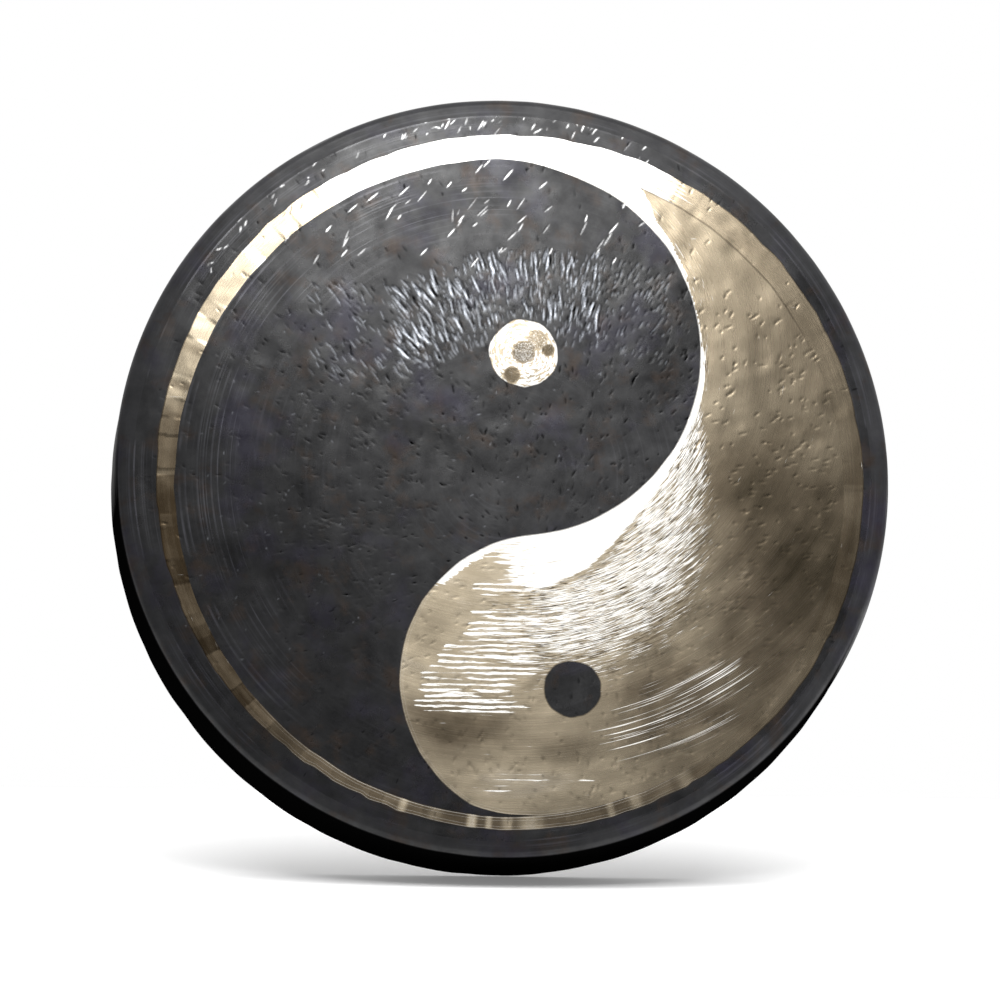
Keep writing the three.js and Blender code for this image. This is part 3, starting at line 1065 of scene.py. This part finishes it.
        return {
            "edge": lambda p: np.min([
                np.abs(self.wave.distance(p)), -self.inner_edge.distance(p), np.abs(self.dark_eye.distance(p)),
            ], axis=0) / MM,
            "burr_glint": lambda p: 0.3 * left(p),
            "crease_shade": lambda p: np.where(
                -self.inner_edge.distance(p) < 8 * MM, 0.5 * smooth(14, 36, up(p)) * smooth(85, 70, up(p)), 0.6
            ),
            "brush": lambda p: 0.25 + 0.75 * smooth(20 * MM, -70 * MM, p[:, 2]),
        }

    def turned(self, points: np.ndarray) -> np.ndarray:
        """How plainly the polishing stick's turning lines show."""
        radius, angle = self.flat.polar(points)
        turn = np.degrees(angle) % 360
        left = smooth(75, 110, turn) * smooth(250, 205, turn) * smooth(175 * MM, 215 * MM, radius)
        return np.maximum(0.12, np.maximum(left, 0.5 * smooth(266 * MM, 275 * MM, radius)))

    def eye_layers(self) -> dict[str, Field]:
        """The bright eye: painted almost white as a highlight, with a brown swirl round its middle and two brown
        patches.
        """
        middle = self.bright_eye.circle

        def near(points: np.ndarray, x: float, z: float, reach: float) -> np.ndarray:
            """A soft round patch, given in millimetres from the eye's middle."""
            away = np.hypot(points[:, 0] - middle.x - x * MM, points[:, 2] - middle.z - z * MM)
            return smooth(1.15 * reach * MM, 0.75 * reach * MM, away)

        def swirl(points: np.ndarray) -> np.ndarray:
            """Where the scraper was turned round and round, and the brown shows between its marks."""
            return np.clip(near(points, 0, 1, 9) + 0.6 * near(points, 11, 11, 8), 0, 1)

        def brown(points: np.ndarray) -> np.ndarray:
            """Where brown is left untouched."""
            return np.clip(near(points, 19, 3, 5) + near(points, -9, -17, 6.5), 0, 1)

        return {
            "tarnish_and_painted_light": lambda p: 0.42 + 0.46 * np.maximum(swirl(p), brown(p)),
            "painted_highlight": lambda p: 0.62 - 0.62 * np.maximum(swirl(p), brown(p)),
            "sparkle": lambda p: 0.3 + 0.4 * swirl(p), "stroke": even(0.0), "streak": even(0.0), "pit_and_shade": even(0.0),
            "edge": lambda p: -self.bright_eye.distance(p) / MM, "crease_shade": even(0.5), "brush": even(1.0),
        }

    def build(self) -> list[bpy.types.Object]:
        """Builds the six zones and the sheet's back."""
        dark = HeatOxidePatina("heat_oxide_patina").material()
        head = (self.dark_head.x, self.dark_head.z)
        field_bronze = ScrapedBronze("brushed_bell_bronze", centre=head).material()
        ring = self.outer_edge.circle
        ring_bronze = ScrapedBronze(
            "scraped_ring_bronze", brown="7c6f5c", olive="483d2e", centre=(ring.x, ring.z), roughness=0.25
        ).material()
        eye_circle = self.bright_eye.circle
        eye_bronze = ScrapedBronze("scraped_eye_bronze", centre=(eye_circle.x, eye_circle.z)).material()
        dark_marks = {**self.marks("bare", "painted_highlight", "pit_and_shade"), "turned": self.turned, "scale": lower_left_shade}
        bright_marks = {
            "tarnish_and_painted_light": self.field_tone, "sparkle": self.sparkle, "painted_highlight": self.field_painted_highlight,
            "stroke": self.strokes, "streak": self.streaks,
            "pit_and_shade": lambda p: 0.25 * self.relief.sample(self.relief.pit_and_shade, p), **self.field_lines(),
        }
        ring_marks = {
            "tarnish_and_painted_light": self.ring_tone_and_light, "painted_highlight": self.ring_painted_highlight, "sparkle": even(0.0), "stroke": even(0.0),
            "streak": even(0.0), "pit_and_shade": even(0.0), **self.ring_lines(),
        }
        return [
            self.zone(
                "dark_field", self.field_pitch, 0,
                [self.inner_edge.distance, self.wave.distance, lambda p: -self.bright_eye.distance(p)],
                dark, dark_marks,
            ),
            self.zone(
                "bright_field", self.field_pitch, 0.12 * MM,
                [self.inner_edge.distance, lambda p: -self.wave.distance(p), lambda p: -self.dark_eye.distance(p)],
                field_bronze, bright_marks,
                lambda p: 0.38 * self.relief.sample(self.relief.height, p),
            ),
            self.zone(
                "bright_eye", self.ring_pitch, 0.15 * MM, [self.bright_eye.distance], eye_bronze,
                self.eye_layers(),
            ),
            self.zone("dark_eye", self.ring_pitch, 0, [self.dark_eye.distance], dark, dark_marks),
            self.zone(
                "scraped_ring", self.ring_pitch, 0.15 * MM,
                [self.outer_edge.distance, lambda p: -self.inner_edge.distance(p)],
                ring_bronze, ring_marks,
                lambda p: self.facets(p)[0] * self.facet_share(np.degrees(self.outer_edge.circle.polar(p)[1])),
            ),
            self.zone(
                "outer_band", self.band_pitch, 0,
                [lambda p: self.flat.polar(p)[0] - self.flat.r, lambda p: -self.outer_edge.distance(p)],
                dark, dark_marks,
            ),
            self.back(),
        ]

    def back(self) -> bpy.types.Object:
        """Builds the back of the sheet, left under its forge scale."""
        low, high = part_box("outer_band")
        bm = lattice(low, high, self.back_pitch)
        round_edge = lambda p: self.flat.polar(p)[0] - self.flat.r
        outside = round_edge(coordinates(bm)) > 3 * self.back_pitch
        bmesh.ops.delete(bm, geom=[v for v, far in zip(list(bm.verts), outside) if far], context="VERTS")
        cut(bm, round_edge, self.back_pitch)
        drop_loose(bm)
        for vert, rise in zip(bm.verts, self.relief.sample(self.relief.height, coordinates(bm))):
            vert.co.y = max(self.sheet + 1.6 * rise, 1.5 * self.skin_depth)
        bmesh.ops.reverse_faces(bm, faces=bm.faces[:])
        close_back(bm, self.skin_depth)
        finish = HeatOxidePatina("forge_scale_back", dark="24211e", light="46403a", brown="4f3a28", roughness=0.42)
        pits = {"pit_and_shade": lambda p: 0.3 * self.relief.sample(self.relief.pit_and_shade, p)}
        return settle(bm, "back_skin", finish.material(), (), pits)


# ---------------------------------------------------------------- the turned-back rim


@dataclass
class Rim:
    """The shoulder and the rim wall behind it, with the two cord holes.

    Args:
        radius: outside radius; not used, as it is taken from the CAD.
        depth: how far back the rim reaches; not used, as it is taken from the CAD.
    """

    radius: float = 300 * MM
    depth: float = 78 * MM
    sheet: float = 2.4 * MM
    flat_radius: float = 286 * MM
    face_sheet: float = 2 * MM
    bend: float = 8 * MM
    hole_radius: float = 5 * MM
    hole_depth: float = 45 * MM
    hole_turn: float = 18
    steps: int = 600
    row: float = 3.2 * MM

    def __post_init__(self) -> None:
        """Takes the outside sizes from the CAD and lays out the hammer dents."""
        low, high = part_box("rim_wall")
        self.radius, self.depth = high.x, high.y
        self.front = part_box("shoulder_bend")[1].y
        rng = np.random.default_rng(41)
        self.dents = [
            (rng.uniform(0, 2 * math.pi), *(rng.uniform(*span) * MM for span in ((-6, 84), (11, 20), (0.12, 0.42))))
            for _ in range(520)
        ]

    def dent_map(self) -> np.ndarray:
        """Depth of the rim's dents, by turn and by distance behind the face."""
        turns, rows = 1200, 64
        made = np.zeros((rows, turns))
        y = (np.arange(rows) / (rows - 1) * 100 * MM - 10 * MM)[:, None]
        angle = np.arange(turns) / turns * 2 * math.pi
        for turn, depth, size, fall in self.dents:
            gap = (angle - turn + math.pi) % (2 * math.pi) - math.pi
            near = np.abs(gap) * self.radius < size
            away = ((gap[near] * self.radius) ** 2 + (y - depth) ** 2) / size**2
            made[:, near] += fall * np.clip(1 - away, 0, 1) ** 1.5
        return made

    def dent(self, bm: bmesh.types.BMesh, start: float) -> None:
        """Pushes a spun wall inwards where the hammer fell.

        Args:
            bm: the wall.
            start: y at which the dents begin. They fade out at the seam between shoulder and wall.
        """
        dents = self.dent_map()
        co = coordinates(bm)
        angle = np.arctan2(co[:, 2], co[:, 0]) % (2 * math.pi)
        col = (angle / (2 * math.pi) * dents.shape[1]).astype(int) % dents.shape[1]
        row = np.clip((co[:, 1] + 10 * MM) / (100 * MM) * (dents.shape[0] - 1), 0, dents.shape[0] - 1.001)
        low = row.astype(int)
        fall = dents[low, col] * (1 - row + low) + dents[low + 1, col] * (row - low)
        fall *= smooth(start, start + 8 * MM, co[:, 1]) * smooth(0, 3 * MM, np.abs(co[:, 1] - self.front))
        for vert, drop, (x, _, z) in zip(bm.verts, fall, co):
            away = math.hypot(x, z)
            vert.co.x -= drop * x / away
            vert.co.z -= drop * z / away

    def spun(self, profile: list[tuple[float, float]]) -> bmesh.types.BMesh:
        """Spins a closed profile round the gong's axis.

        Args:
            profile: corners as distance from the axis and y.

        Returns:
            The closed wall.
        """
        bm = bmesh.new()
        ring = [bm.verts.new((x, y, 0)) for x, y in profile]
        edges = [bm.edges.new((a, b)) for a, b in zip(ring, ring[1:] + ring[:1])]
        bmesh.ops.spin(
            bm, geom=ring + edges, cent=(0, 0, 0), axis=(0, 1, 0), dvec=(0, 0, 0), angle=2 * math.pi,
            steps=self.steps, use_merge=True, use_duplicate=False,
        )
        bmesh.ops.remove_doubles(bm, verts=bm.verts[:], dist=0.001 * MM)
        bmesh.ops.recalc_face_normals(bm, faces=bm.faces[:])
        for edge in bm.edges:
            edge.smooth = edge.calc_face_angle(0) < math.radians(50)
        return bm

    def arc(self, radius: float, first: float, last: float, steps: int) -> list[tuple[float, float]]:
        """Points of the shoulder's arc in the profile plane."""
        slope = math.tan(math.radians(10))
        fall = (self.radius - self.bend - self.flat_radius) * slope
        angles = np.radians(np.linspace(first, last, steps))
        middle = self.radius - self.bend
        return [(middle + radius * math.cos(a), fall + self.bend + radius * math.sin(a)) for a in angles]

    def shoulder(self, material: bpy.types.Material) -> bpy.types.Object:
        """Builds the turn from the face to the wall."""
        outside = self.arc(self.bend, -80, 0, 14)
        inside = self.arc(self.bend - self.sheet, 0, -80, 8)
        reach, rise = outside[0][0] - self.flat_radius, outside[0][1]
        lead = [(self.flat_radius + t * reach, t * rise) for t in (0, 0.33, 0.66)]
        bm = self.spun(lead + outside + inside + [(self.flat_radius, self.face_sheet)])
        self.dent(bm, 1 * MM)
        return settle(
            bm, "shoulder_hammered", material, ("shoulder_bend",),
            {"scale": self.shoulder_shade, "turned": even(0.32)},
        )

    def hole(self, side: int) -> Field:
        """Signed distance outside one cord hole, positive inside the hole."""
        turn = math.radians(90 - side * self.hole_turn)
        out = np.array([math.cos(turn), 0, math.sin(turn)])
        across = np.array([-math.sin(turn), 0, math.cos(turn)])

        def distance(points: np.ndarray) -> np.ndarray:
            """How far points lie inside the hole."""
            gap = np.hypot(points @ across, points[:, 1] - self.hole_depth)
            return np.where(points @ out > 0, self.hole_radius - gap, -1.0)

        return distance

    def wall(self, material: bpy.types.Material) -> bpy.types.Object:
        """Builds the rim wall and drills its cord holes."""
        inner, lip = self.radius - self.sheet, 0.5 * MM
        rows = np.linspace(self.front, self.depth - lip, max(4, round((self.depth - self.front) / self.row)))
        profile = [(self.radius, y) for y in rows] + [(self.radius - lip, self.depth), (inner + lip, self.depth)]
        profile += [(inner, y) for y in rows[::-1]]
        bm = self.spun(profile)
        for side in (-1, 1):
            edge = self.hole(side)
            near = [e for e in bm.edges if (edge(np.array([v.co for v in e.verts])) > -5 * MM).all()]
            bmesh.ops.subdivide_edges(bm, edges=near, cuts=3, use_grid_fill=True)
            cut(bm, edge, 0.8 * MM)
            loops = [e for e in bm.edges if e.is_boundary]
            bmesh.ops.bridge_loops(bm, edges=loops)
            for rim in loops:
                rim.smooth = False
        self.dent(bm, self.front - 8 * MM)
        bmesh.ops.recalc_face_normals(bm, faces=bm.faces[:])
        return settle(bm, "rim_wall_hammered", material, ("rim_wall",), {"scale": self.scale_and_shade})

    def scale_and_shade(self, points: np.ndarray) -> np.ndarray:
        """Painted shade on the wall: near-black along its foot and outside the left, over a thin scale everywhere.
        """
        turn = np.degrees(np.arctan2(points[:, 2], points[:, 0])) % 360
        outside = smooth(self.radius - 2.35 * MM, self.radius - 2.05 * MM, np.hypot(points[:, 0], points[:, 2]))
        return 0.12 + 0.88 * smooth(165, 185, turn) * smooth(344, 328, turn) * outside

    def shoulder_shade(self, points: np.ndarray) -> np.ndarray:
        """Painted shade on the shoulder: near-black on its lower left where it turns back into the wall, and the
        face's darker lower left.
        """
        turn = np.degrees(np.arctan2(points[:, 2], points[:, 0])) % 360
        scale_and_shade = smooth(165, 185, turn) * smooth(344, 328, turn) * smooth(2.4 * MM, 3.8 * MM, points[:, 1])
        return np.maximum(scale_and_shade, lower_left_shade(points))

    def build(self) -> list[bpy.types.Object]:
        """Builds the shoulder and the wall."""
        # The shoulder's patina is a lighter copy of the face's: painted light that brightens the shoulder
        shoulder = HeatOxidePatina("shoulder_patina", dark="222223", light="323234", roughness=0.33, sheen=0.42)
        scale = HeatOxidePatina(
            "forge_scale", dark="191715", light="302c28", brown="3a2b1f", violet="24212a", roughness=0.46, sheen=0.42
        )
        return [self.shoulder(shoulder.material()), self.wall(scale.material())]


# ---------------------------------------------------------------- studio


@dataclass
class Studio:
    """A pale sweep, soft light and the camera."""

    distance: float = 8.0
    azimuth: float = -4.26
    elevation: float = -11.2
    lens: float = 372.9
    slope: float = 17.0
    floor: float = -300.2 * MM
    lip: float = 78 * MM

    def axes(self) -> tuple[Vector, Vector, Vector]:
        """The camera's own right, up and back."""
        a, e = math.radians(self.azimuth), math.radians(self.elevation)
        back = Vector((math.sin(a) * math.cos(e), -math.cos(a) * math.cos(e), math.sin(e)))
        right = Vector((0, 0, 1)).cross(back).normalized()
        return right, back.cross(right), back

    def camera(self) -> None:
        """Places the camera, a little below the gong and to its left."""
        right, up, back = self.axes()
        data = bpy.data.cameras.new("camera")
        data.lens, data.sensor_width = self.lens, 36
        data.clip_end = 60
        made = bpy.data.objects.new("camera", data)
        target = -2.4 * MM * right - 18.4 * MM * up
        made.location = target + back * self.distance
        made.rotation_euler = (-back).to_track_quat("-Z", "Y").to_euler()
        bpy.context.scene.collection.objects.link(made)
        bpy.context.scene.camera = made

    def sweep(self) -> None:
        """Lays the floor: it falls away in front of the gong, and levels out behind it."""
        bm = bmesh.new()
        side, crest, back, front = 18.0, 0.55, 18.0, -18.0
        rise = math.tan(math.radians(self.slope))
        top = self.floor + (crest - self.lip) * rise
        line = [(-side, front, self.floor + (front - self.lip) * rise), (-side, crest, top), (-side, back, top)]
        verts = [bm.verts.new(p) for p in line]
        edges = [bm.edges.new(pair) for pair in zip(verts, verts[1:])]
        made = bmesh.ops.extrude_edge_only(bm, edges=edges)["geom"]
        bmesh.ops.translate(bm, verts=[g for g in made if isinstance(g, bmesh.types.BMVert)], vec=(2 * side, 0, 0))
        bmesh.ops.recalc_face_normals(bm, faces=bm.faces[:])
        if sum(f.normal.z for f in bm.faces) < 0:
            bmesh.ops.reverse_faces(bm, faces=bm.faces[:])
        mesh = bpy.data.meshes.new("studio_sweep")
        bm.to_mesh(mesh)
        bm.free()
        paper, _ = new_material("white_studio_paper")
        shader = paper.node_tree.nodes["Principled BSDF"]
        shader.inputs["Base Color"].default_value = linear("f6f6f6")
        shader.inputs["Roughness"].default_value = 0.9
        shader.inputs["Specular IOR Level"].default_value = 0.1
        # The paper lies on a lit table, which keeps its shadows pale
        shader.inputs["Emission Color"].default_value = linear("ffffff")
        shader.inputs["Emission Strength"].default_value = 0.19
        mesh.materials.append(paper)
        made = bpy.data.objects.new("studio_sweep", mesh)
        bpy.context.scene.collection.objects.link(made)

    def dome(self) -> None:
        """Lights the room: white to look at, brightest overhead and dim towards the horizon."""
        world = bpy.data.worlds.new("studio_dome")
        bpy.context.scene.world = world
        world.use_nodes = True
        tree = world.node_tree
        tree.nodes.clear()
        add = partial(add_node, tree)
        toward = add("TexCoord", out="Generated")
        rearward, upward = add("SeparateXYZ", [toward]).node.outputs[1:3]
        high = add("MapRange", [upward, 0.05, 0.75, 0.1, 0.6], interpolation_type="SMOOTHSTEP")
        rear = add("MapRange", [rearward, 0.2, 0.85, 0.0, 0.28], interpolation_type="SMOOTHSTEP")
        high = add("Math", [high, rear], operation="ADD")
        seen = add("LightPath", out="Is Camera Ray")
        white = add("Mix", {0: seen, 2: high, 3: 1.0})
        light = add("Background", {"Color": (1, 1, 1, 1), "Strength": white})
        add("OutputWorld", {"Surface": light})

    def softbox(self, name: str, place: Vector, aim: Vector, size: tuple[float, float], watts: float) -> None:
        """Hangs one soft light that the camera doesn't see."""
        data = bpy.data.lights.new(name, "AREA")
        data.shape, data.size, data.size_y, data.energy = "ELLIPSE", size[0], size[1], watts
        made = bpy.data.objects.new(name, data)
        made.location = place
        made.rotation_euler = (aim - place).to_track_quat("-Z", "Y").to_euler()
        made.visible_camera = False
        bpy.context.scene.collection.objects.link(made)

    def overhead(self, strength: float) -> None:
        """Hangs one wide, soft light straight above, which grounds the gong with its shadow."""
        data = bpy.data.lights.new("overhead", "SUN")
        data.energy, data.angle = strength, math.radians(70)
        made = bpy.data.objects.new("overhead", data)
        made.rotation_euler = (math.radians(25), 0, 0)
        made.visible_glossy = False
        bpy.context.scene.collection.objects.link(made)

    def build(self) -> None:
        """Sets up the whole studio."""
        self.camera()
        self.sweep()
        self.dome()
        self.softbox("key", Vector((0.03, -1.2, 0.55)), Vector((-0.05, 0, 0.27)), (0.44, 0.28), 2.6)
        self.softbox("middle", Vector((0.08, -1.2, 0.24)), Vector((0, 0, 0)), (0.5, 0.4), 0.2)
        self.softbox("low", Vector((0.045, -1.2, 0.02)), Vector((-0.04, 0, -0.19)), (0.4, 0.3), 0.17)
        self.softbox("top", Vector((-0.05, -0.8, 1.0)), Vector((0, 0, 0.25)), (0.95, 0.6), 4.2)
        self.overhead(2.75)
        bpy.context.scene.view_settings.view_transform = "Standard"


def main() -> None:
    """Builds the studio and the gong."""
    logging.basicConfig(level=logging.INFO, format="%(name)s: %(message)s")
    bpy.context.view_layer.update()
    Studio().build()
    LOG.info("studio ready")
    relief = Relief().work()
    LOG.info("sheet hammered")
    PlayingFace(relief).build()
    Rim().build()
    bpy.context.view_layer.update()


if __name__ == "__main__":
    main()
